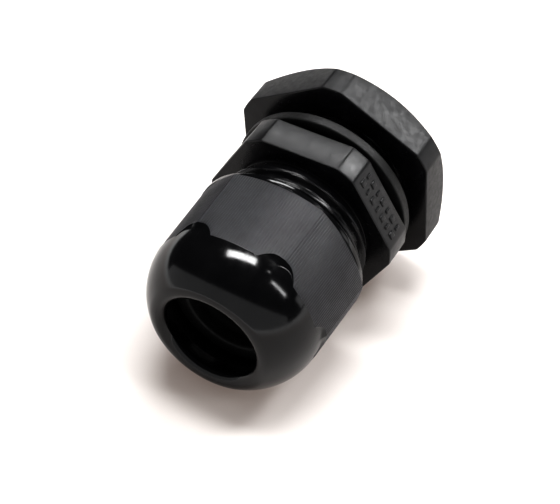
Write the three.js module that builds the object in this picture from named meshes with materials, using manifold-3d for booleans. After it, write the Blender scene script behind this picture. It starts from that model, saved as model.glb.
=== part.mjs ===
// A plastic cable gland, size PG 16, lying on its side as it lies on a bench.
//
// Millimetres, +Z up. The gland's axis is horizontal, along Y, with the domed sealing nut
// towards -Y and the mounting thread towards +Y. Along the axis, every station is given as
// s, the distance towards the dome from the dome-side face of the body's hexagon, so that
// y = -s before the whole gland is shifted to stand over the origin.

import * as THREE from 'three';
import { mergeVertices } from 'three/addons/utils/BufferGeometryUtils.js';
import Module from 'manifold-3d';

const wasm = await Module();
wasm.setup();

// ---------------------------------------------------------------- driving dimensions

const GAP = 0.3;                  // clearance between separate pieces
const ROUND = 60;                 // sides of a full circle
const OVERLAP = 1;                // how far joined or cutting solids reach into each other

// gland body: hexagon, mounting thread, and neck for the sealing nut
const BODY_AF = 27;               // spanner size
const BODY_CORNER_R = 14.8;       // cylinder that trims the hexagon's corners
const HEX_BACK = -5.1;
const HEX_TURN = 1;               // turn of the top flat from straight up, towards -X, degrees
const THREAD_R = 11.25;           // PG 16 mounting thread, 22.5 over the crests
const THREAD_END = -18.1;
const THREAD_LEAD_IN = 0.8;
const NECK_R = 11.8;              // thread that carries the sealing nut
const NECK_ROOT_R = 11.0;
const NECK_ROOT_END = 0.8;        // undercut between the hexagon and the neck's thread
const NECK_END = 9.95;
const NECK_LEAD_IN = 0.5;
const CABLE_WAY_R = 7.6;          // bore through the hexagon
const ENTRY_R = 8.8;              // wider bore inside the mounting thread
const ENTRY_TAPER = 2.5;          // length over which the bore widens
const ENTRY_CHAMFER = 0.4;
const SEAL_POCKET_R = 9.4;
const SEAL_POCKET_FLOOR = 8.6;

// clamping fingers around the seal
const FINGERS = 12;
const FINGER_ROOT = 10.5;         // also the line they bend about
const FINGER_TIP = 18.2;
const FINGER_INNER_R = 9.3;
const FINGER_ROOT_R = 11.2;
const FINGER_SHOULDER = 17.0;     // where the bevel of the tip begins
const FINGER_SHOULDER_R = 10.5;
const FINGER_TIP_R = 10.1;
const FINGER_SLOT = 1.5;          // width of the slot between two fingers

// rubber sealing insert
const SEAL_R = 9.0;
const SEAL_BORE_R = 7.0;
const SEAL_BACK = 8.9;
const SEAL_FRONT = 19.6;
const SEAL_LIP_R = 9.4;
const SEAL_LIP_BACK = FINGER_TIP + GAP;
const SEAL_CHAMFER = 0.6;

// domed sealing nut; its flats draw in towards the dome
const NUT_AF = 26.5;              // across flats at the collar
const NUT_CROWN_R = 20;           // the flats bulge a little, as arcs of this radius
const NUT_TAPER = 0.019;          // share of the width lost between the collar and the dome
const NUT_TURN = -1;
const COLLAR_R = 13.35;
const COLLAR_BACK = 5.5;
const COLLAR_CHAMFER = 0.2;
const NUT_FLATS_BACK = 6.4;
const NUT_CORNERS_FRONT = 16.6;   // where the corners end
const NUT_FLATS_FRONT = 18.5;     // where the flats run out into the dome
const DOME_BASE_R = 13.05;
const DOME_ARC_R = 10;            // large arc of the dome's outline
const DOME_START_ANGLE = 5.7;     // slope of the outline where the dome begins, degrees
const DOME_TURN_ANGLE = 50;       // slope where the large arc meets the crown arc
const CROWN_ARC_R = 1.9;
const LIP_ARC_R = 1.25;           // rounding into the cable hole
const NUT_BORE_R = 12.1;          // inside the nut's thread
const NUT_BORE_FRONT = 14.0;
const NUT_BORE_CHAMFER = 0.4;
const NUT_CAVITY_R = 11.6;
const CONE_START = 16.35;         // inner cone that presses the fingers in
const CONE_SLOPE = 0.577;         // radius lost per millimetre along the axis: 30 degrees
const CABLE_HOLE_R = 7.1;

// sealing washer and lock nut on the mounting thread
const WASHER_R = 13.9;
const WASHER_FRONT = -6.45;
const WASHER_BACK = -8.05;
const LOCK_AF = 30.4;
const LOCK_CORNER_R = 16.75;
const LOCK_TURN = 33.3;
const LOCK_FRONT = -10.85;
const LOCK_CORNERS_BACK = -15.35; // where the back chamfer starts on the corners
const LOCK_CHAMFER_R = 14.7;      // where it reaches the back face
const LOCK_BACK = -17.0;
const LOCK_BORE_CHAMFER = 0.5;

const rad = THREE.MathUtils.degToRad;

// ---------------------------------------------------------------- materials

const plastic = (roughness) =>
  new THREE.MeshStandardMaterial({ color: 0x17171a, roughness, metalness: 0 });
const rubber = () =>
  new THREE.MeshStandardMaterial({ color: 0x121214, roughness: 0.85, metalness: 0 });

// ---------------------------------------------------------------- geometry helpers

// Points of a circular arc in the (r, s) outline plane, from one angle to another.
function arc(centreR, centreS, radius, fromDeg, toDeg, steps) {
  return Array.from({ length: steps + 1 }, (_, i) => {
    const a = rad(fromDeg + ((toDeg - fromDeg) * i) / steps);
    return [centreR + radius * Math.cos(a), centreS + radius * Math.sin(a)];
  });
}

// A body of revolution about the gland's axis. The outline is a list of [r, s] that runs
// from the back to the front outside; one that leaves the axis is closed inside.
function turned(outline) {
  const touchesAxis = outline[0][0] === 0;
  const loop = touchesAxis ? outline : [...outline, outline[0]];
  const points = loop.map(([r, s]) => new THREE.Vector2(r, s));
  return new THREE.LatheGeometry(points, ROUND).rotateX(Math.PI);
}

// A hexagon with straight sides whose corners are trimmed by a circle.
function trimmedHexagon(acrossFlats, cornerR, turnDeg) {
  const trimmed = Math.PI / 6 - Math.acos(acrossFlats / 2 / cornerR);
  const shape = new THREE.Shape();
  for (let i = 0; i < 6; i++) {
    const corner = rad(90 + turnDeg + 30 + 60 * i);
    shape.absarc(0, 0, cornerR, corner - trimmed, corner + trimmed, false);
  }
  return shape;
}

// How far a crowned hexagon's corners are from its middle.
function crownedCornerR(acrossFlats, crownR) {
  const back = crownR - acrossFlats / 2;
  return Math.sqrt(crownR ** 2 - (back / 2) ** 2) - back * Math.cos(Math.PI / 6);
}

// A hexagon whose sides are arcs of a large radius that meet in sharp corners.
function crownedHexagon(acrossFlats, crownR, turnDeg) {
  const back = crownR - acrossFlats / 2;
  const half = Math.asin(crownedCornerR(acrossFlats, crownR) / 2 / crownR);
  const shape = new THREE.Shape();
  for (let i = 0; i < 6; i++) {
    const side = rad(90 + turnDeg + 60 * i);
    shape.absarc(
      -back * Math.cos(side), -back * Math.sin(side), crownR, side - half, side + half, false,
    );
  }
  return shape;
}

// A prism of a shape across the axis, between two stations. The taper is the share of its
// width that it loses from the back to the front.
function prismOf(shape, back, front, taper = 0) {
  const depth = front - back;
  const prism = new THREE.ExtrudeGeometry(shape, { depth, bevelEnabled: false, curveSegments: 6 });
  const at = prism.attributes.position;
  for (let i = 0; i < at.count; i++) {
    const width = 1 - (taper * at.getZ(i)) / depth;
    at.setXY(i, at.getX(i) * width, at.getY(i) * width);
  }
  return prism.rotateX(Math.PI / 2).translate(0, -back, 0);
}

// Closed mesh to solid, and back.
function solid(geometry) {
  const bare = geometry.clone();
  bare.deleteAttribute('normal');
  bare.deleteAttribute('uv');
  const welded = mergeVertices(bare, 1e-4);
  return new wasm.Manifold(new wasm.Mesh({
    numProp: 3,
    vertProperties: new Float32Array(welded.attributes.position.array),
    triVerts: new Uint32Array(welded.index.array),
  }));
}

function geometryOf(manifold) {
  const { vertProperties, triVerts } = manifold.getMesh();
  const geometry = new THREE.BufferGeometry();
  geometry.setAttribute('position', new THREE.BufferAttribute(vertProperties, 3));
  geometry.setIndex(new THREE.BufferAttribute(triVerts, 1));
  geometry.computeVertexNormals();
  return geometry;
}

// ---------------------------------------------------------------- the pieces

// Body: hexagon, hollow mounting thread and the neck that ends in the seal pocket.
function glandBodyGeometry() {
  const core = BODY_AF / 2 - OVERLAP;
  const spine = turned([
    [ENTRY_R + ENTRY_CHAMFER, THREAD_END], [THREAD_R - THREAD_LEAD_IN, THREAD_END],
    [THREAD_R, THREAD_END + THREAD_LEAD_IN], [THREAD_R, HEX_BACK], [core, HEX_BACK], [core, 0],
    [NECK_ROOT_R, 0], [NECK_ROOT_R, NECK_ROOT_END], [NECK_R, NECK_ROOT_END + NECK_LEAD_IN],
    [NECK_R, NECK_END - NECK_LEAD_IN], [NECK_R - NECK_LEAD_IN, NECK_END],
    [SEAL_POCKET_R, NECK_END], [SEAL_POCKET_R, SEAL_POCKET_FLOOR],
    [CABLE_WAY_R, SEAL_POCKET_FLOOR], [CABLE_WAY_R, HEX_BACK],
    [ENTRY_R, HEX_BACK - ENTRY_TAPER], [ENTRY_R, THREAD_END + ENTRY_CHAMFER],
  ]);
  const hole = turned([
    [0, HEX_BACK - OVERLAP], [core - OVERLAP, HEX_BACK - OVERLAP], [core - OVERLAP, OVERLAP],
    [0, OVERLAP],
  ]);
  const hex = solid(prismOf(trimmedHexagon(BODY_AF, BODY_CORNER_R, HEX_TURN), HEX_BACK, 0));
  return geometryOf(solid(spine).add(hex.subtract(solid(hole))));
}

// One clamping finger, bending inwards about its root. It is cut from the ring of fingers
// as the wedge between two slots of constant width.
function fingerGeometry() {
  const ring = turned([
    [FINGER_INNER_R, FINGER_ROOT], [FINGER_ROOT_R, FINGER_ROOT],
    [FINGER_SHOULDER_R, FINGER_SHOULDER], [FINGER_TIP_R, FINGER_TIP],
    [FINGER_INNER_R, FINGER_TIP],
  ]);
  const half = Math.PI / FINGERS;
  const reach = FINGER_ROOT_R + OVERLAP;
  const apex = FINGER_SLOT / 2 / Math.sin(half);
  const wedge = new THREE.Shape([
    new THREE.Vector2(0, apex),
    new THREE.Vector2(reach * Math.tan(half), apex + reach),
    new THREE.Vector2(-reach * Math.tan(half), apex + reach),
  ]);
  const depth = FINGER_TIP - FINGER_ROOT + 2 * OVERLAP;
  const cutter = new THREE.ExtrudeGeometry(wedge, { depth, bevelEnabled: false });
  cutter.rotateX(Math.PI / 2).translate(0, OVERLAP - FINGER_ROOT, 0);
  return geometryOf(solid(ring).intersect(solid(cutter)));
}

// Rubber sealing insert: a plain sleeve whose front lip rests on the finger tips.
function sealGeometry() {
  return turned([
    [SEAL_BORE_R, SEAL_BACK], [SEAL_R, SEAL_BACK], [SEAL_R, SEAL_LIP_BACK],
    [SEAL_LIP_R, SEAL_LIP_BACK], [SEAL_LIP_R, SEAL_FRONT - SEAL_CHAMFER],
    [SEAL_LIP_R - SEAL_CHAMFER, SEAL_FRONT], [SEAL_BORE_R, SEAL_FRONT],
  ]);
}

// Outline of the dome from the flats to the edge of the cable hole: a large arc, a crown
// arc tangent to it, and the rounding into the hole.
function domeOutline() {
  const start = rad(DOME_START_ANGLE);
  const turn = rad(DOME_TURN_ANGLE);
  const bigR = DOME_BASE_R - DOME_ARC_R * Math.cos(start);
  const bigS = NUT_FLATS_FRONT - DOME_ARC_R * Math.sin(start);
  const crownR = bigR + (DOME_ARC_R - CROWN_ARC_R) * Math.cos(turn);
  const crownS = bigS + (DOME_ARC_R - CROWN_ARC_R) * Math.sin(turn);
  const lipS = crownS + CROWN_ARC_R - LIP_ARC_R;
  return [
    ...arc(bigR, bigS, DOME_ARC_R, DOME_START_ANGLE, DOME_TURN_ANGLE, 6),
    ...arc(crownR, crownS, CROWN_ARC_R, DOME_TURN_ANGLE, 90, 3).slice(1),
    ...arc(CABLE_HOLE_R + LIP_ARC_R, lipS, LIP_ARC_R, 90, 180, 4),
  ];
}

// Sealing nut: tapering hexagon on a round collar, a dome, and a cavity with a thread bore
// and the cone that closes the fingers.
function sealingNutGeometry() {
  // the corners are cut off by a cone that meets the dome at its base
  const cornerR = crownedCornerR(NUT_AF, NUT_CROWN_R);
  const slope = (NUT_FLATS_FRONT - NUT_CORNERS_FRONT) / (cornerR - DOME_BASE_R);
  const clear = cornerR + OVERLAP;
  const trim = turned([
    [0, NUT_FLATS_BACK - OVERLAP], [clear, NUT_FLATS_BACK - OVERLAP],
    [clear, NUT_CORNERS_FRONT - OVERLAP * slope], [DOME_BASE_R, NUT_FLATS_FRONT],
    [0, NUT_FLATS_FRONT],
  ]);
  const hex = prismOf(
    crownedHexagon(NUT_AF, NUT_CROWN_R, NUT_TURN),
    NUT_FLATS_BACK, NUT_FLATS_FRONT + OVERLAP, NUT_TAPER,
  );
  const dome = domeOutline();
  const holeEdge = dome[dome.length - 1][1];
  const inside = DOME_BASE_R - OVERLAP / 2;
  const shell = turned([
    [0, COLLAR_BACK], [COLLAR_R - COLLAR_CHAMFER, COLLAR_BACK],
    [COLLAR_R, COLLAR_BACK + COLLAR_CHAMFER], [COLLAR_R, NUT_FLATS_BACK],
    [inside, NUT_FLATS_BACK], [inside, NUT_FLATS_FRONT], ...dome, [0, holeEdge],
  ]);
  const mouth = NUT_BORE_R + NUT_BORE_CHAMFER;
  const coneEnd = CONE_START + (NUT_CAVITY_R - CABLE_HOLE_R) / CONE_SLOPE;
  const cavity = turned([
    [0, COLLAR_BACK - OVERLAP], [mouth, COLLAR_BACK - OVERLAP],
    [mouth, COLLAR_BACK + NUT_BORE_CHAMFER], [NUT_BORE_R, COLLAR_BACK + 2 * NUT_BORE_CHAMFER],
    [NUT_BORE_R, NUT_BORE_FRONT],
    [NUT_CAVITY_R, NUT_BORE_FRONT + NUT_BORE_R - NUT_CAVITY_R], [NUT_CAVITY_R, CONE_START],
    [CABLE_HOLE_R, coneEnd], [CABLE_HOLE_R, holeEdge + OVERLAP], [0, holeEdge + OVERLAP],
  ]);
  const outside = solid(hex).intersect(solid(trim)).add(solid(shell));
  return geometryOf(outside.subtract(solid(cavity)));
}

// Flat rubber washer, loose on the mounting thread behind the hexagon.
function washerGeometry() {
  const bore = THREAD_R + GAP;
  return turned([
    [bore, WASHER_BACK], [WASHER_R, WASHER_BACK], [WASHER_R, WASHER_FRONT], [bore, WASHER_FRONT],
  ]);
}

// Lock nut: trimmed hexagon, flat towards the panel and chamfered behind.
function lockNutGeometry() {
  const slope = (LOCK_CORNERS_BACK - LOCK_BACK) / (LOCK_CORNER_R - LOCK_CHAMFER_R);
  const clear = LOCK_CORNER_R + OVERLAP;
  const bore = THREAD_R + GAP;
  const mouth = bore + LOCK_BORE_CHAMFER;
  const trim = turned([
    [mouth, LOCK_BACK - OVERLAP], [LOCK_CHAMFER_R - OVERLAP / slope, LOCK_BACK - OVERLAP],
    [clear, LOCK_CORNERS_BACK + OVERLAP * slope], [clear, LOCK_FRONT + OVERLAP],
    [bore, LOCK_FRONT + OVERLAP], [bore, LOCK_BACK + LOCK_BORE_CHAMFER], [mouth, LOCK_BACK],
  ]);
  const hex = prismOf(trimmedHexagon(LOCK_AF, LOCK_CORNER_R, LOCK_TURN), LOCK_BACK, LOCK_FRONT);
  return geometryOf(solid(hex).intersect(solid(trim)));
}

// ---------------------------------------------------------------- assembly

const group = new THREE.Group();

function piece(name, geometry, material) {
  const mesh = new THREE.Mesh(geometry, material);
  mesh.name = name;
  group.add(mesh);
  return mesh;
}

piece('gland_body', glandBodyGeometry(), plastic(0.5));
piece('sealing_nut', sealingNutGeometry(), plastic(0.25));
piece('sealing_insert', sealGeometry(), rubber());
piece('sealing_washer', washerGeometry(), rubber());
piece('lock_nut', lockNutGeometry(), plastic(0.5));

const finger = fingerGeometry();
for (let i = 0; i < FINGERS; i++) {
  const number = String(i + 1).padStart(2, '0');
  const mesh = piece(`clamping_finger_${number}`, finger, plastic(0.5));
  mesh.rotation.y = (2 * Math.PI * i) / FINGERS;
}

// The lowest line of the lock nut's corners is the ground, and the origin is under the
// middle of the gland's length.
const crown = Math.max(...domeOutline().map(([, s]) => s));
group.position.set(0, (crown + THREAD_END) / 2, LOCK_CORNER_R);

export default group;
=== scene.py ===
"""A plastic PG 16 cable gland on a white table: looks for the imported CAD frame.

All lengths in this script are metres. Along the gland's axis, a station s is the distance
towards the dome from the dome-side face of the body's hexagon.
"""
import math

import bmesh
import bpy
from mathutils import Matrix, Vector


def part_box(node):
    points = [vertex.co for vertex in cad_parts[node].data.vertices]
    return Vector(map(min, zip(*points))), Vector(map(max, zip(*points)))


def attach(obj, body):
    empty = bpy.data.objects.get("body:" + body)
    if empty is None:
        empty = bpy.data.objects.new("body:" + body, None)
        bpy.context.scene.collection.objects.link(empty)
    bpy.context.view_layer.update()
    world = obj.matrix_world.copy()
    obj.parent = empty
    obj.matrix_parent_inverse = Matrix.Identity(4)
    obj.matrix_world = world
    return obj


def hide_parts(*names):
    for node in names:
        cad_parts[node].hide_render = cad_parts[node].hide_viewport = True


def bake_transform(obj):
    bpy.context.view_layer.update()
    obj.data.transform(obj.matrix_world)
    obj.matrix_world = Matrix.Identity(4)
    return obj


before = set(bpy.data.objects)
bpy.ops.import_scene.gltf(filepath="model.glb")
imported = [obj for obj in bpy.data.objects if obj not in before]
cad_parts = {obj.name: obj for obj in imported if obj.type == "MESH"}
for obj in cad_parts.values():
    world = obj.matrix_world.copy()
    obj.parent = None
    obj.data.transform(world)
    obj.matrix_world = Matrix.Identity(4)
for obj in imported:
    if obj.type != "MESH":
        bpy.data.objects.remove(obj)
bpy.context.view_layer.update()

MM = 0.001
TAU = 2 * math.pi

# ------------------------------------------------------------------ places from the frame


def low(node):
    return Vector(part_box(node)[0])


def high(node):
    return Vector(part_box(node)[1])


AXIS_Z = (low("gland_body").z + high("gland_body").z) / 2
NECK_END = 9.95 * MM
FACE_Y = low("gland_body").y + NECK_END


def station(y):
    """The station of a y in the frame."""
    return FACE_Y - y


def place(radius, angle, s):
    """A point from its radius, its angle from +Z towards +X, and its station."""
    return Vector((radius * math.sin(angle), FACE_Y - s, AXIS_Z + radius * math.cos(angle)))


# gland body
BODY_APOTHEM = 13.5 * MM
BODY_CORNER_R = 14.8 * MM
BODY_TURN = math.radians(-1)
HEX_BACK = -5.1 * MM
THREAD_END = station(high("gland_body").y)
THREAD_R = 11.25 * MM
THREAD_ROOT_R = 10.5 * MM
THREAD_PITCH = 1.411 * MM
NECK_R = 11.8 * MM
NECK_ROOT_R = 10.95 * MM
NECK_PITCH = 2.0 * MM
ENTRY_R = 8.8 * MM
CABLE_WAY_R = 7.6 * MM
SEAL_POCKET_R = 9.4 * MM
SEAL_POCKET_FLOOR = 8.6 * MM
THREAD_FLAT = 0.22    # share of half a pitch that is flat, at the root and again at the crest

# raised marks on one flat of the body's hexagon
MARK_STATIONS = (-1.75 * MM, -3.4 * MM)
MARKS_PER_ROW = 7
MARK_PITCH = 1.55 * MM
MARK_LENGTHS = (0.95 * MM, 0.45 * MM)
MARK_WIDTH = 1.0 * MM
MARK_HEIGHT = 0.2 * MM
MARK_LEVELS = ((1, -0.4), (1, 0.35), (0.86, 0.85), (0.68, 1))    # size and height, as shares

# sealing nut
NUT_BACK = station(high("sealing_nut").y)
NUT_APOTHEM = 13.25 * MM
NUT_CROWN_R = 20 * MM
NUT_TAPER = 0.019
NUT_TURN = math.radians(1)
COLLAR_R = 13.35 * MM
FLATS_BACK = 6.4 * MM
FLATS_FRONT = 18.5 * MM
FLATS_TO_DOME = 0.12 * MM    # from where the flats end to the dome's base
CORNER_CUT = 1.8 * MM
CORNER_CUT_HALF = math.radians(14)
CORNER_CUT_RISE = 0.75     # share of its half width over which the arch rises
CORNER_CUT_SLOPE = 0.53    # radius lost per length along the axis
CORNER_CUT_ROWS = (0.06, 0.35, 0.65, 0.9)    # shares of the way from its edge to its foot
CORNER_CUT_AFTER = 0.3     # share of the way from its foot to the dome's base, for one row more
CORNER_CUT_LEAST = 0.05 * MM
CORNER_CUT_CLEAR = 0.03 * MM
DOME_BASE_R = 13.05 * MM
DOME_ARC_R = 10 * MM
DOME_START = math.radians(5.7)    # the large arc's angles, where it starts and where it ends
DOME_TURN = math.radians(50)
BIG_ARC_R = DOME_BASE_R - DOME_ARC_R * math.cos(DOME_START)
BIG_ARC_S = FLATS_FRONT - DOME_ARC_R * math.sin(DOME_START)
CROWN_ARC_R = 1.9 * MM
LIP_ARC_R = 1.25 * MM
CABLE_HOLE_R = 7.1 * MM
CAVITY_R = 11.6 * MM
CONE_START = 16.35 * MM
CONE_SLOPE = 0.577
NUT_THREAD_R = 12.1 * MM
NUT_THREAD_CREST_R = 11.25 * MM
NUT_THREAD_FRONT = 14.0 * MM
NUT_SHELL_R = 12.15 * MM
RIBS_PER_SIDE = 36
RIB_HEIGHT = 0.07 * MM
RIB_RUN_OUT = 0.3 * MM
STEPS_PER_RIB = 6

# washer and lock nut
WASHER_R = (high("sealing_washer").x - low("sealing_washer").x) / 2
WASHER_FRONT = station(low("sealing_washer").y)
WASHER_BACK = station(high("sealing_washer").y)
LOCK_APOTHEM = 15.2 * MM
LOCK_CORNER_R = 16.75 * MM
LOCK_TURN = math.radians(-33.3)
LOCK_FRONT = station(low("lock_nut").y)
LOCK_BACK = station(high("lock_nut").y)
LOCK_CORNERS_BACK = LOCK_BACK + 1.65 * MM
LOCK_CHAMFER_R = 14.7 * MM

# sealing insert
SEAL_BACK = station(high("sealing_insert").y)
SEAL_FRONT = station(low("sealing_insert").y)
SEAL_R = 9.0 * MM
SEAL_BORE_R = 7.0 * MM
SEAL_LIP_R = 9.4 * MM
SEAL_LIP_BACK = 18.5 * MM
WAVE_DEPTH = 0.24 * MM
WAVE_PITCH = 2.4 * MM
WAVE_STEP = 0.25 * MM

# clamping fingers and the thin strips they bend on: a foot in the neck, a head in the finger
FINGERS = 12
FINGER_ROOT = 10.5 * MM
FINGER_PIVOT_R = 10.25 * MM
HINGE_WIDTH = 3.0 * MM
HINGE_INNER_R, HINGE_OUTER_R = 10.1 * MM, 10.45 * MM
HINGE_FOOT_INNER_R, HINGE_FOOT_OUTER_R = 10.0 * MM, 10.6 * MM
HINGE_HEAD_INNER_R, HINGE_HEAD_OUTER_R = 9.9 * MM, 10.7 * MM
HINGE_FOOT = NECK_END - 0.4 * MM
HINGE_START = NECK_END + 0.1 * MM
HINGE_HEAD = FINGER_ROOT + 0.5 * MM
HINGE_STEP = 0.11 * MM

# table
TABLE_REACH = 1.2
TABLE_TILT = 0.115      # the gland lies on the lock nut's edge and on the sealing nut's flats
TABLE_EASE = 6 * MM     # the length over which the table's slope eases off at each end
# the table's painted glow stands in for light: it is least and warm near the gland, a painted warm
# shade, and full and white further out, painted light
PAINTED_GLOW_START = 0.05       # up to here from the gland the table's painted glow is least, as given below
PAINTED_GLOW_FULL = 0.35        # from here on its painted glow is full
PAINTED_GLOW_LEAST = 0.11

# the photograph's camera, in the frame's directions and from the middle of station 0
CAMERA_AT = Vector((76.57, -140.97, 170.70)) * MM
CAMERA_LOOK = Vector((-0.33021, 0.58412, -0.74145))
CAMERA_UP = Vector((-0.36488, 0.64546, 0.67101))
CAMERA_LENS = 103.85
CAMERA_SENSOR = 36

# how finely round pieces are divided
HEX_STEPS = 360
HEX_EDGE_STEPS = (-1.2, -0.6, -0.2, 0.2, 0.6, 1.2)    # degrees from where a flat meets a corner
HEX_LEAST_STEP = math.radians(0.08)
NUT_THREAD_STEPS = 288
WASHER_STEPS = 240
SHARP_EDGE = math.radians(38)

# ------------------------------------------------------------------ outlines


def filleted(points, radii, steps=3):
    """The [radius, station] outline with its corners rounded, always as the same count of points."""
    out = []
    for i, corner in enumerate(points):
        radius = radii[i] if isinstance(radii, (list, tuple)) else radii
        here = Vector(corner)
        before = Vector(points[i - 1]) - here
        after = Vector(points[(i + 1) % len(points)]) - here
        angle = before.angle(after)
        if radius <= 0:
            out.append(here)
            continue
        reach = min(radius / math.tan(angle / 2), 0.45 * before.length, 0.45 * after.length)
        start = here + before.normalized() * reach
        end = here + after.normalized() * reach
        for k in range(steps + 1):
            t = k / steps
            out.append(start.lerp(here, t).lerp(here.lerp(end, t), t))
    return out


def arc(centre_r, centre_s, radius, start, end, steps):
    """Points of a circular arc in the [radius, station] plane."""
    angles = [start + (end - start) * k / steps for k in range(steps + 1)]
    return [(centre_r + radius * math.cos(a), centre_s + radius * math.sin(a)) for a in angles]


def hexagon(angle, apothem, corner_r, turn, softness=0.12 * MM):
    """The radius of a hexagon with trimmed corners at this angle, its edges slightly rounded."""
    off_flat = (angle - turn + math.pi / 6) % (math.pi / 3) - math.pi / 6
    flat = apothem / math.cos(off_flat)
    blend = max(softness - abs(flat - corner_r), 0) / softness
    return min(flat, corner_r) - blend * blend * softness / 4


def crowned(angle):
    """The radius of the sealing nut's hexagon, whose flats bulge a little and meet in corners."""
    off_flat = (angle - NUT_TURN + math.pi / 6) % (math.pi / 3) - math.pi / 6
    back = NUT_CROWN_R - NUT_APOTHEM
    return math.sqrt(NUT_CROWN_R**2 - (back * math.sin(off_flat)) ** 2) - back * math.cos(off_flat)


def tapered(angle, s):
    """The crowned radius at this station: the flats come in a little towards the dome."""
    return crowned(angle) * (1 - NUT_TAPER * (s - FLATS_BACK) / (FLATS_FRONT - FLATS_BACK))


def flats_end(angle):
    """The station where the flats end: further back in an arch around each corner."""
    off_corner = abs((angle - NUT_TURN) % (math.pi / 3) - math.pi / 6)
    rise = min(max((CORNER_CUT_HALF - off_corner) / (CORNER_CUT_RISE * CORNER_CUT_HALF), 0), 1)
    return FLATS_FRONT - FLATS_TO_DOME - CORNER_CUT * rise * (2 - rise)


def around(count):
    """Evenly spaced angles of a full turn."""
    return [TAU * i / count for i in range(count)]


def hex_angles(apothem, corner_r, turn):
    """Angles round a hexagon: even steps, with more where its flats meet its corners."""
    angles = set(around(HEX_STEPS))
    half = math.acos(apothem / corner_r)
    for side in range(6):
        for edge in (half, -half):
            centre = turn + side * math.pi / 3 + edge
            angles |= {(centre + math.radians(step)) % TAU for step in HEX_EDGE_STEPS}
    return spaced(sorted(angles), HEX_LEAST_STEP)


def spaced(angles, least):
    """The sorted angles without those that follow another too closely."""
    kept = [angles[0]]
    for angle in angles[1:]:
        if angle - kept[-1] >= least:
            kept.append(angle)
    return kept


def thread(rows, angle, pitch, root, crest, start, end, fade):
    """A right-handed thread's [radius, station] points at these stations, with flat crests.

    It fades in and out at its ends. A nut's thread is half a turn on from the one it sits on.
    """
    points = []
    for s in rows:
        turn = (s / pitch + angle / TAU) % 1
        rise = min(max((abs(turn - 0.5) * 2 - THREAD_FLAT) / (1 - 2 * THREAD_FLAT), 0), 1)
        rise = rise * rise * (3 - 2 * rise)
        ends = min((s - start) / fade, (end - s) / fade, 1)
        points.append((root + (crest - root) * rise * max(ends, 0), s))
    return points


def even(start, end, step):
    """Stations from start to end, about a step apart, both ends included."""
    count = max(round(abs(end - start) / step), 1)
    return [start + (end - start) * i / count for i in range(count + 1)]


# ------------------------------------------------------------------ meshes


def ring_mesh(name, angles, outline_at, closed=True):
    """A solid ring, or a sector of one if not closed.

    outline_at(angle) gives the same count of [radius, station] points at every angle.
    """
    rows = [[place(r, a, s) for r, s in outline_at(a)] for a in angles]
    wide = len(rows[0])
    verts = [v for row in rows for v in row]
    faces = []
    for i in range(len(rows) if closed else len(rows) - 1):
        j = (i + 1) % len(rows)
        for k in range(wide):
            m = (k + 1) % wide
            faces.append((i * wide + k, i * wide + m, j * wide + m, j * wide + k))
    if not closed:
        faces.append(tuple(range(wide - 1, -1, -1)))
        faces.append(tuple((len(rows) - 1) * wide + k for k in range(wide)))
    return finished_mesh(name, verts, faces)


def finished_mesh(name, verts, faces):
    """A smooth-shaded object with sharp edges, whose faces point out."""
    mesh = bpy.data.meshes.new(name)
    mesh.from_pydata(verts, [], faces)
    piece = bpy.data.objects.new(name, mesh)
    bpy.context.scene.collection.objects.link(piece)
    bm = bmesh.new()
    bm.from_mesh(mesh)
    bmesh.ops.recalc_face_normals(bm, faces=bm.faces)
    bm.to_mesh(mesh)
    bm.free()
    mesh.shade_smooth()
    mesh.set_sharp_from_angle(angle=SHARP_EDGE)
    return piece


# ------------------------------------------------------------------ pieces


def gland_body():
    """Hexagon, real mounting and neck threads, and the way for the cable."""
    mount_rows = even(THREAD_END + 0.9 * MM, HEX_BACK - 0.25 * MM, THREAD_PITCH / 11)
    neck_rows = even(0.3 * MM, NECK_END - 0.4 * MM, NECK_PITCH / 14)

    def outline(angle):
        corner = hexagon(angle, BODY_APOTHEM, BODY_CORNER_R, BODY_TURN)
        mount = thread(
            mount_rows, angle, THREAD_PITCH, THREAD_ROOT_R, THREAD_R,
            THREAD_END, HEX_BACK, THREAD_PITCH,
        )
        neck = thread(
            neck_rows, angle, NECK_PITCH, NECK_ROOT_R, NECK_R,
            0.5 * MM, NECK_END, NECK_PITCH / 2,
        )
        rear = filleted(
            [
                (ENTRY_R, HEX_BACK - 2.5 * MM), (ENTRY_R, THREAD_END + 0.4 * MM),
                (ENTRY_R + 0.4 * MM, THREAD_END), (THREAD_ROOT_R - 0.1 * MM, THREAD_END),
                (THREAD_ROOT_R, THREAD_END + 0.8 * MM),
            ],
            [0.5 * MM, 0.1 * MM, 0.1 * MM, 0.15 * MM, 0],
        )
        hexagon_part = filleted(
            [
                (THREAD_ROOT_R, HEX_BACK - 0.1 * MM), (THREAD_ROOT_R, HEX_BACK), (corner, HEX_BACK),
                (corner, 0), (NECK_ROOT_R, 0), (NECK_ROOT_R, 0.2 * MM),
            ],
            [0, 0, 0.22 * MM, 0.22 * MM, 0.1 * MM, 0],
        )
        front = filleted(
            [
                (NECK_ROOT_R, NECK_END - 0.2 * MM), (NECK_ROOT_R, NECK_END),
                (SEAL_POCKET_R, NECK_END), (SEAL_POCKET_R, SEAL_POCKET_FLOOR),
                (CABLE_WAY_R, SEAL_POCKET_FLOOR), (CABLE_WAY_R, HEX_BACK),
            ],
            [0, 0.12 * MM, 0.12 * MM, 0, 0.15 * MM, 0.5 * MM],
        )
        return rear + mount + hexagon_part + neck + front

    angles = hex_angles(BODY_APOTHEM, BODY_CORNER_R, BODY_TURN)
    return ring_mesh("body_with_threads", angles, outline)


def dome_radius(s):
    """The radius of the dome's large arc, also where it goes on behind the dome's base."""
    return BIG_ARC_R + math.sqrt(DOME_ARC_R**2 - (s - BIG_ARC_S) ** 2)


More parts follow.
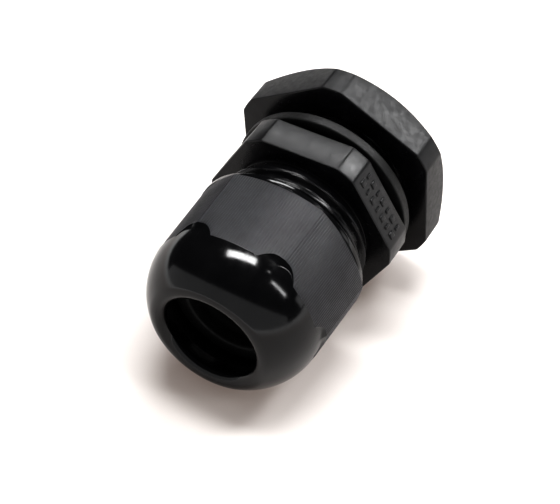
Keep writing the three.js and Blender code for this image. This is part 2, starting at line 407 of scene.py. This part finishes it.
def dome_outline():
    """The dome from its base to the edge of the cable hole."""
    crown_r = BIG_ARC_R + (DOME_ARC_R - CROWN_ARC_R) * math.cos(DOME_TURN)
    crown_s = BIG_ARC_S + (DOME_ARC_R - CROWN_ARC_R) * math.sin(DOME_TURN)
    lip_s = crown_s + CROWN_ARC_R - LIP_ARC_R
    return (
        arc(BIG_ARC_R, BIG_ARC_S, DOME_ARC_R, DOME_START, DOME_TURN, 16)
        + arc(crown_r, crown_s, CROWN_ARC_R, DOME_TURN, math.pi / 2, 7)[1:]
        + arc(CABLE_HOLE_R + LIP_ARC_R, lip_s, LIP_ARC_R, math.pi / 2, math.pi, 8)
    )


def rib(angle):
    """How far the fine axial ribs stand up at this angle, evenly spaced along the flats."""
    along = ((angle - NUT_TURN) / (math.pi / 3) * RIBS_PER_SIDE) % 1
    return RIB_HEIGHT * (0.5 - 0.5 * math.cos(TAU * along)) ** 0.8


def flats_outline(angle):
    """The ribbed flat at this angle, from back to front, and at a corner its concave cut."""
    length = flats_end(angle) - FLATS_BACK
    marks = [0, RIB_RUN_OUT / 3, RIB_RUN_OUT, length / 4, length / 2, length * 3 / 4]
    marks += [length - RIB_RUN_OUT, length - RIB_RUN_OUT / 3, length]
    flats = []
    for mark in marks:
        fade = min(mark / RIB_RUN_OUT, (length - mark) / RIB_RUN_OUT, 1)
        s = FLATS_BACK + mark
        flats.append((tapered(angle, s) - RIB_HEIGHT + rib(angle) * fade, s))
    edge = Vector(flats[-1])
    fall = max((edge.x - DOME_BASE_R) / CORNER_CUT_SLOPE, CORNER_CUT_LEAST)
    foot_s = min(edge.y + fall, FLATS_FRONT - CORNER_CUT_CLEAR)
    foot = Vector((dome_radius(foot_s), foot_s))
    cut = [edge.lerp(foot, t) for t in CORNER_CUT_ROWS]
    after_s = foot_s * (1 - CORNER_CUT_AFTER) + FLATS_FRONT * CORNER_CUT_AFTER
    return flats + cut + [(dome_radius(after_s), after_s)]


def sealing_nut():
    """Ribbed hexagon on a round collar, polished dome, and the cone that closes the fingers."""
    dome = dome_outline()
    inside = filleted(
        [
            (CABLE_HOLE_R, CONE_START + (CAVITY_R - CABLE_HOLE_R) / CONE_SLOPE),
            (CAVITY_R, CONE_START), (CAVITY_R, NUT_THREAD_FRONT + 0.5 * MM),
            (NUT_SHELL_R, NUT_THREAD_FRONT + 0.05 * MM),
        ],
        [0.4 * MM, 0.3 * MM, 0.2 * MM, 0],
    )

    def outline(angle):
        flats = flats_outline(angle)
        step = filleted(
            [
                (NUT_SHELL_R, NUT_BACK + 0.4 * MM), (NUT_SHELL_R + 0.35 * MM, NUT_BACK),
                (COLLAR_R, NUT_BACK), (COLLAR_R, FLATS_BACK - 0.02 * MM), flats[0],
            ],
            [0.1 * MM, 0.1 * MM, 0.2 * MM, 0.15 * MM, 0],
        )
        return step[:-1] + flats + dome + inside

    return ring_mesh("ribbed_nut", around(6 * RIBS_PER_SIDE * STEPS_PER_RIB), outline)


def nut_thread():
    """The thread inside the sealing nut, as a ring let into its bore."""
    rows = even(NUT_THREAD_FRONT - 0.1 * MM, NUT_BACK + 0.5 * MM, NECK_PITCH / 12)
    outer = NUT_SHELL_R + 0.3 * MM

    def outline(angle):
        turns = thread(
            rows, angle + math.pi, NECK_PITCH, NUT_THREAD_R, NUT_THREAD_CREST_R,
            NUT_BACK + 0.5 * MM, NUT_THREAD_FRONT, NECK_PITCH / 2,
        )
        return [(outer, NUT_BACK + 0.6 * MM), (outer, NUT_THREAD_FRONT - 0.2 * MM)] + turns

    return ring_mesh("nut_thread", around(NUT_THREAD_STEPS), outline)


def washer():
    """Rubber washer with softened edges."""
    bore = THREAD_R + 0.1 * MM
    corners = [
        (bore, WASHER_BACK), (WASHER_R, WASHER_BACK), (WASHER_R, WASHER_FRONT), (bore, WASHER_FRONT),
    ]
    outline = filleted(corners, 0.28 * MM, 5)
    return ring_mesh("rubber_washer", around(WASHER_STEPS), lambda angle: outline)


def lock_nut():
    """Large hexagon nut, flat in front, with a back chamfer and a real internal thread."""
    rows = even(LOCK_FRONT - 0.35 * MM, LOCK_BACK + 0.55 * MM, THREAD_PITCH / 12)
    slope = (LOCK_CORNERS_BACK - LOCK_BACK) / (LOCK_CORNER_R - LOCK_CHAMFER_R)
    crest = THREAD_R - 0.5 * MM
    root = THREAD_R + 0.2 * MM

    def outline(angle):
        wide = hexagon(angle, LOCK_APOTHEM, LOCK_CORNER_R, LOCK_TURN)
        chamfer_s = LOCK_BACK + slope * (wide - LOCK_CHAMFER_R)
        outside = filleted(
            [
                (root, LOCK_BACK + 0.5 * MM), (root + 0.5 * MM, LOCK_BACK),
                (LOCK_CHAMFER_R, LOCK_BACK), (wide, chamfer_s), (wide, LOCK_FRONT),
                (root + 0.3 * MM, LOCK_FRONT), (root, LOCK_FRONT - 0.3 * MM),
            ],
            [0, 0.1 * MM, 0.15 * MM, 0.3 * MM, 0.25 * MM, 0.1 * MM, 0],
            4,
        )
        turns = thread(
            rows, angle + math.pi, THREAD_PITCH, root, crest, LOCK_BACK, LOCK_FRONT, THREAD_PITCH / 2,
        )
        return outside + turns

    angles = hex_angles(LOCK_APOTHEM, LOCK_CORNER_R, LOCK_TURN)
    return ring_mesh("threaded_lock_nut", angles, outline)


def seal_sector(number):
    """One twelfth of the rubber sealing insert, around its finger's middle line."""
    middle = TAU * number / FINGERS
    half = math.pi / FINGERS
    outside = [
        (SEAL_BORE_R, SEAL_BACK), (SEAL_R, SEAL_BACK), (SEAL_R, FINGER_ROOT - 0.4 * MM),
        (SEAL_R, FINGER_ROOT + 0.4 * MM), (SEAL_R, SEAL_LIP_BACK), (SEAL_LIP_R, SEAL_LIP_BACK),
        (SEAL_LIP_R, SEAL_FRONT), (SEAL_BORE_R, SEAL_FRONT),
    ]
    radii = [0.3 * MM, 0.3 * MM, 0, 0, 0, 0.2 * MM, 0.6 * MM, 0.5 * MM]
    outline = filleted(outside, radii, 4) + bore_waves()
    angles = [middle - half + 2 * half * k / 10 for k in range(11)]
    return ring_mesh(f"seal_sector_{number + 1:02d}", angles, lambda angle: outline, closed=False)


def bore_waves():
    """The seal's bore from front to back, with the shallow rings that grip the cable."""
    stations = even(SEAL_FRONT - 0.8 * MM, SEAL_BACK + 0.6 * MM, WAVE_STEP)
    waves = [WAVE_DEPTH / 2 * (1 - math.cos(TAU * (s - SEAL_BACK) / WAVE_PITCH)) for s in stations]
    return [(SEAL_BORE_R + wave, s) for wave, s in zip(waves, stations)]


def living_hinge(number):
    """The thin strip of plastic that a finger bends on."""
    middle = TAU * number / FINGERS
    half = HINGE_WIDTH / 2 / FINGER_PIVOT_R
    strip = even(HINGE_START, FINGER_ROOT, HINGE_STEP)
    outline = [(HINGE_FOOT_INNER_R, HINGE_FOOT), (HINGE_FOOT_OUTER_R, HINGE_FOOT)]
    outline += [(HINGE_OUTER_R, s) for s in strip]
    outline += [(HINGE_HEAD_OUTER_R, HINGE_HEAD), (HINGE_HEAD_INNER_R, HINGE_HEAD)]
    outline += [(HINGE_INNER_R, s) for s in reversed(strip)]
    angles = [middle - half + 2 * half * k / 6 for k in range(7)]
    return ring_mesh(f"finger_hinge_{number + 1:02d}", angles, lambda angle: outline, closed=False)


def raised_marks():
    """Two rows of small raised bars moulded on one flat of the body's hexagon."""
    verts, faces = [], []
    angle = BODY_TURN + math.pi / 3
    along = Vector((math.cos(angle), 0, -math.sin(angle)))
    up = Vector((math.sin(angle), 0, math.cos(angle))) * MARK_HEIGHT
    across = Vector((0, MARK_WIDTH / 2, 0))
    for row, s in enumerate(MARK_STATIONS):
        for k in range(MARKS_PER_ROW):
            centre = place(BODY_APOTHEM, angle, s) + along * (k - MARKS_PER_ROW // 2) * MARK_PITCH
            add_bar(verts, faces, centre, along * MARK_LENGTHS[(k + row) % 2] / 2, across, up)
    return finished_mesh("moulded_marks", verts, faces)


def add_bar(verts, faces, centre, along, across, up):
    """Adds one bar with sloping sides and a rounded top edge, sunk a little into the flat."""
    base = len(verts)
    top = base + 4 * (len(MARK_LEVELS) - 1)
    for size, height in MARK_LEVELS:
        for x, y in ((-1, -1), (1, -1), (1, 1), (-1, 1)):
            verts.append(centre + along * x * size + across * y * size + up * height)
    for a in range(base, top, 4):
        for k in range(4):
            m = (k + 1) % 4
            faces.append((a + k, a + m, a + 4 + m, a + 4 + k))
    faces.append((base + 3, base + 2, base + 1, base))
    faces.append(tuple(range(top, top + 4)))


# ------------------------------------------------------------------ materials


class Surface:
    """A Principled material under construction, with its texture coordinates in metres."""

    def __init__(self, name, roughness, specular=0.5):
        self.material = bpy.data.materials.new(name)
        self.material.use_nodes = True
        self.tree = self.material.node_tree
        self.shader = self.tree.nodes["Principled BSDF"]
        self.shader.inputs["Roughness"].default_value = roughness
        self.shader.inputs["Specular IOR Level"].default_value = specular
        self.place = self.tree.nodes.new("ShaderNodeTexCoord").outputs["Object"]
        self.bump = None

    def link(self, output, node, socket):
        self.tree.links.new(output, node.inputs[socket])

    def noise(self, size, detail=3.0, stretch=(1, 1, 1), roughness=0.55):
        """Noise whose blotches are about this size, stretched along an axis if asked."""
        mapping = self.tree.nodes.new("ShaderNodeMapping")
        mapping.inputs["Scale"].default_value = stretch
        self.link(self.place, mapping, "Vector")
        noise = self.tree.nodes.new("ShaderNodeTexNoise")
        noise.inputs["Scale"].default_value = 1 / size
        noise.inputs["Detail"].default_value = detail
        noise.inputs["Roughness"].default_value = roughness
        self.link(mapping.outputs["Vector"], noise, "Vector")
        return noise.outputs["Fac"]

    def ramp(self, value, stops):
        """Colours, or greys, along a value."""
        ramp = self.tree.nodes.new("ShaderNodeValToRGB")
        elements = ramp.color_ramp.elements
        for element, (at, colour) in zip(elements, stops[:2]):
            element.position, element.color = at, (*colour, 1)
        for at, colour in stops[2:]:
            elements.new(at).color = (*colour, 1)
        self.link(value, ramp, "Fac")
        return ramp.outputs["Color"]

    def between(self, value, low_value, high_value):
        """A noise value spread between two numbers."""
        spread = self.tree.nodes.new("ShaderNodeMapRange")
        spread.inputs["From Min"].default_value = 0.3
        spread.inputs["From Max"].default_value = 0.7
        spread.inputs["To Min"].default_value = low_value
        spread.inputs["To Max"].default_value = high_value
        self.link(value, spread, "Value")
        return spread.outputs["Result"]

    def colour(self, output):
        self.link(output, self.shader, "Base Color")

    def rough(self, output):
        self.link(output, self.shader, "Roughness")

    def relief(self, height, distance, strength=1.0):
        """Fine relief of that height, on top of any that is there already."""
        bump = self.tree.nodes.new("ShaderNodeBump")
        bump.inputs["Strength"].default_value = strength
        bump.inputs["Distance"].default_value = distance
        self.link(height, bump, "Height")
        if self.bump:
            self.link(self.bump, bump, "Normal")
        self.bump = bump.outputs["Normal"]
        self.link(self.bump, self.shader, "Normal")


def moulded_nylon(name, smooth, coarse, tint=(0.0035, 0.0035, 0.004), specular=0.5):
    """Black nylon as it leaves the mould: fine spark-eroded grain, flow marks, faint rubbing."""
    surface = Surface(name, (smooth + coarse) / 2, specular)
    lighter = tuple(1.9 * c for c in tint)
    blotches = surface.noise(2.4 * MM, 4)
    surface.colour(surface.ramp(blotches, [(0.3, tint), (0.75, lighter)]))
    surface.rough(surface.between(surface.noise(0.9 * MM, 5), smooth, coarse))
    surface.relief(surface.noise(0.11 * MM, 2), 0.012 * MM, 0.6)
    surface.relief(surface.noise(1.6 * MM, 2, (1, 0.25, 1)), 0.03 * MM, 0.25)
    return surface.material


def polished_nylon():
    """The dome: high gloss with a faint ripple and a few soft rub marks."""
    surface = Surface("polished_nylon", 0.12, specular=0.44)
    tints = [(0.3, (0.0025, 0.0025, 0.003)), (0.75, (0.005, 0.005, 0.0055))]
    surface.colour(surface.ramp(surface.noise(3.0 * MM, 3), tints))
    rubs = surface.noise(0.7 * MM, 6, (1, 0.2, 1), 0.7)
    surface.rough(surface.between(rubs, 0.09, 0.17))
    surface.relief(surface.noise(2.2 * MM, 1), 0.02 * MM, 0.3)
    return surface.material


def soft_rubber(name, roughness_low, roughness_high, tint):
    """Matt black rubber with a fine powdery bloom."""
    surface = Surface(name, (roughness_low + roughness_high) / 2)
    bloom = tuple(c * 2 + 0.002 for c in tint)
    powder = surface.noise(0.6 * MM, 6, roughness=0.7)
    surface.colour(surface.ramp(powder, [(0.35, tint), (0.8, bloom)]))
    surface.rough(surface.between(surface.noise(0.5 * MM, 4), roughness_low, roughness_high))
    surface.relief(surface.noise(0.08 * MM, 3), 0.015 * MM, 0.7)
    return surface.material


def white_table_painted_glow():
    """A matt white table with a painted glow: weak and warm near the gland, a painted warm shade in
    its shadows, and brightening to white away from it, painted light.
    """
    surface = Surface("white_table_painted_glow", 0.9, specular=0.1)
    whites = [(0.3, (0.56, 0.555, 0.55)), (0.7, (0.59, 0.585, 0.58))]
    surface.colour(surface.ramp(surface.noise(40 * MM, 2), whites))
    # painted glow: the emission grows with the distance from the gland, painted light that keeps the
    # far table white
    distance = surface.tree.nodes.new("ShaderNodeVectorMath")
    distance.operation = "LENGTH"
    surface.link(surface.place, distance, "Vector")
    spread = surface.tree.nodes.new("ShaderNodeMapRange")
    spread.interpolation_type = "SMOOTHSTEP"
    spread.inputs["From Min"].default_value = PAINTED_GLOW_START
    spread.inputs["From Max"].default_value = PAINTED_GLOW_FULL
    spread.inputs["To Min"].default_value = PAINTED_GLOW_LEAST
    spread.inputs["To Max"].default_value = 1.0
    surface.link(distance.outputs["Value"], spread, "Value")
    surface.link(spread.outputs["Result"], surface.shader, "Emission Strength")
    # painted warm shade near the gland, where the glow is least, and white painted light further out
    painted_glow_colour = surface.ramp(spread.outputs["Result"], [(0.18, (1, 0.76, 0.64)), (0.6, (1, 1, 1))])
    surface.link(painted_glow_colour, surface.shader, "Emission Color")
    return surface.material


# ------------------------------------------------------------------ assembly


def dress(piece, body, slot, *materials):
    """Gives a new piece its body and its materials. Its slot argument is not used."""
    for material in materials:
        piece.data.materials.append(material)
    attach(piece, body)


def smooth_and_painted_shade_from(piece, first, last):
    """The second material, smoother and with painted shade (a darker tint and a weaker reflection),
    on the faces that look towards the dome or lie between the stations.
    """
    for face in piece.data.polygons:
        between = first < station(face.center.y) < last
        face.material_index = 1 if between or face.normal.y < -0.9 else 0


def polish_dome(piece):
    """The second material everywhere on the nut except on its ribbed flats."""
    for face in piece.data.polygons:
        x, z = face.center.x, face.center.z - AXIS_Z
        s, angle = station(face.center.y), math.atan2(x, z)
        on_flats = FLATS_BACK < s < flats_end(angle)
        on_flats = on_flats and math.hypot(x, z) > tapered(angle, s) - 3 * RIB_HEIGHT
        face.material_index = 0 if on_flats else 1


BODY_NYLON = moulded_nylon("body_nylon", 0.3, 0.4)
LOCK_NYLON = moulded_nylon("lock_nut_nylon", 0.36, 0.5)
# smoother nylon for the neck and for the faces towards the dome; its darker tint and weaker specular
# are painted shade
SMOOTH_NYLON_PAINTED_SHADE = moulded_nylon("smooth_nylon_painted_shade", 0.2, 0.28, (0.0025, 0.0025, 0.003), specular=0.34)
FLATS_NYLON = moulded_nylon("ribbed_nylon", 0.36, 0.47, (0.012, 0.012, 0.014))
FINGER_NYLON = moulded_nylon("finger_nylon", 0.4, 0.55)
DOME_NYLON = polished_nylon()
SEAL_RUBBER = soft_rubber("seal_rubber", 0.5, 0.7, (0.0035, 0.0035, 0.0035))
WASHER_RUBBER = soft_rubber("washer_rubber", 0.42, 0.6, (0.004, 0.004, 0.004))

body = gland_body()
dress(body, "gland_body", "black_nylon", BODY_NYLON, SMOOTH_NYLON_PAINTED_SHADE)
smooth_and_painted_shade_from(body, 0, NECK_END)
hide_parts("gland_body")

marks = raised_marks()
dress(marks, "gland_body", "black_nylon", BODY_NYLON)

nut = sealing_nut()
dress(nut, "sealing_nut", "black_nylon_dome", FLATS_NYLON, DOME_NYLON)
polish_dome(nut)
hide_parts("sealing_nut")

inner_thread = nut_thread()
dress(inner_thread, "sealing_nut", "black_nylon_dome", DOME_NYLON)

ring = washer()
dress(ring, "sealing_washer", "black_rubber", WASHER_RUBBER)
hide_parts("sealing_washer")

lock = lock_nut()
dress(lock, "lock_nut", "black_nylon", LOCK_NYLON, SMOOTH_NYLON_PAINTED_SHADE)
smooth_and_painted_shade_from(lock, LOCK_FRONT - 0.05 * MM, LOCK_FRONT)
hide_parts("lock_nut")

for index in range(FINGERS):
    finger_body = f"clamping_finger_{index + 1:02d}"
    sector = seal_sector(index)
    sector.data.materials.append(SEAL_RUBBER)
    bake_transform(sector)
    hinge = living_hinge(index)
    hinge.data.materials.append(FINGER_NYLON)
    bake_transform(hinge)
    if index == 0:
        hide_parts("sealing_insert")
    for material_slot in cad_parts[finger_body].material_slots:
        material_slot.material = FINGER_NYLON

# ------------------------------------------------------------------ table, lights, camera


def table():
    """A white table that slopes along the line the gland rests on and is level around it."""
    contact = low("lock_nut").y
    start = low("sealing_nut").y - TABLE_EASE
    end = high("lock_nut").y + TABLE_EASE
    shifts = [TABLE_EASE * k / 8 for k in range(-8, 9)]
    ys = [-TABLE_REACH, *even(start - TABLE_EASE, end + TABLE_EASE, 1 * MM), TABLE_REACH]

    def sloped(y):
        """The slope's height, zero under the lock nut's front edge."""
        return (contact - min(max(y, start), end)) * TABLE_TILT

    def eased(y):
        """The mean height around this y, which rounds the slope's two ends."""
        return sum(sloped(y + shift) for shift in shifts) / len(shifts)

    verts = [(x, y, eased(y)) for y in ys for x in (-TABLE_REACH, TABLE_REACH)]
    faces = [(2 * k, 2 * k + 1, 2 * k + 3, 2 * k + 2) for k in range(len(ys) - 1)]
    mesh = bpy.data.meshes.new("table")
    mesh.from_pydata(verts, [], faces)
    piece = bpy.data.objects.new("table", mesh)
    bpy.context.scene.collection.objects.link(piece)
    mesh.shade_smooth()
    mesh.materials.append(white_table_painted_glow())


def direction(azimuth, elevation):
    """A unit vector; azimuth is from +Y towards +X."""
    a, e = math.radians(azimuth), math.radians(elevation)
    return Vector((math.sin(a) * math.cos(e), math.cos(a) * math.cos(e), math.sin(e)))


def softbox(name, azimuth, elevation, distance, width, height, watts):
    """A rectangular soft light that faces the gland and that the camera doesn't see.

    Angles are in degrees, lengths in metres.
    """
    lamp = bpy.data.lights.new(name, "AREA")
    lamp.shape = "RECTANGLE"
    lamp.size, lamp.size_y = width, height
    lamp.energy = watts
    box = bpy.data.objects.new(name, lamp)
    bpy.context.scene.collection.objects.link(box)
    towards = direction(azimuth, elevation)
    turned = towards.to_track_quat("Z", "Y").to_matrix().to_4x4()
    box.matrix_world = Matrix.Translation(Vector((0, 0, AXIS_Z)) + towards * distance) @ turned
    box.visible_camera = False
    return box


def studio():
    """Soft lights in a dark room, which the camera sees as white behind the gland."""
    world = bpy.data.worlds.new("studio")
    world.use_nodes = True
    tree = world.node_tree
    backdrop = tree.nodes["Background"]
    backdrop.inputs["Color"].default_value = (1, 1, 1, 1)
    room = tree.nodes.new("ShaderNodeBackground")
    room.inputs["Color"].default_value = (0.9, 0.95, 1, 1)
    room.inputs["Strength"].default_value = 0.03
    rays = tree.nodes.new("ShaderNodeLightPath")
    mix = tree.nodes.new("ShaderNodeMixShader")
    tree.links.new(rays.outputs["Is Camera Ray"], mix.inputs["Fac"])
    tree.links.new(room.outputs["Background"], mix.inputs[1])
    tree.links.new(backdrop.outputs["Background"], mix.inputs[2])
    tree.links.new(mix.outputs["Shader"], tree.nodes["World Output"].inputs["Surface"])
    bpy.context.scene.world = world
    softbox("overhead", -14, 80, 0.7, 0.42, 0.14, 3.4)
    softbox("right_strip", 84, 38, 0.6, 0.05, 0.24, 0.35)
    softbox("right_spot", 66, 56, 0.6, 0.03, 0.03, 0.02)
    softbox("right_low", 62, 8, 0.7, 0.3, 0.16, 0.2)
    softbox("back_right", 36, 42, 0.7, 0.17, 0.17, 1.8)
    softbox("back_left", -24, 45, 0.7, 0.3, 0.1, 1.0)
    softbox("front_wall", 180, 20, 0.5, 6, 0.4, 5.0)
    softbox("ceiling", 0, 90, 0.8, 1.1, 1.1, 2.0).visible_glossy = False


def camera():
    """The photograph's view: from the dome's side, to the right and above."""
    forward = CAMERA_LOOK.normalized()
    right = forward.cross(CAMERA_UP).normalized()
    upward = right.cross(forward)
    turned = Matrix((right, upward, -forward)).transposed().to_4x4()
    data = bpy.data.cameras.new("camera")
    data.sensor_width = CAMERA_SENSOR
    data.lens = CAMERA_LENS
    data.clip_start = 0.01
    eye = bpy.data.objects.new("camera", data)
    bpy.context.scene.collection.objects.link(eye)
    at = Vector((0, FACE_Y, AXIS_Z)) + CAMERA_AT
    eye.matrix_world = Matrix.Translation(at) @ turned
    bpy.context.scene.camera = eye


table()
studio()
camera()
view = bpy.context.scene.view_settings
view.view_transform = "Standard"
view.exposure = 0.7
view.gamma = 0.7
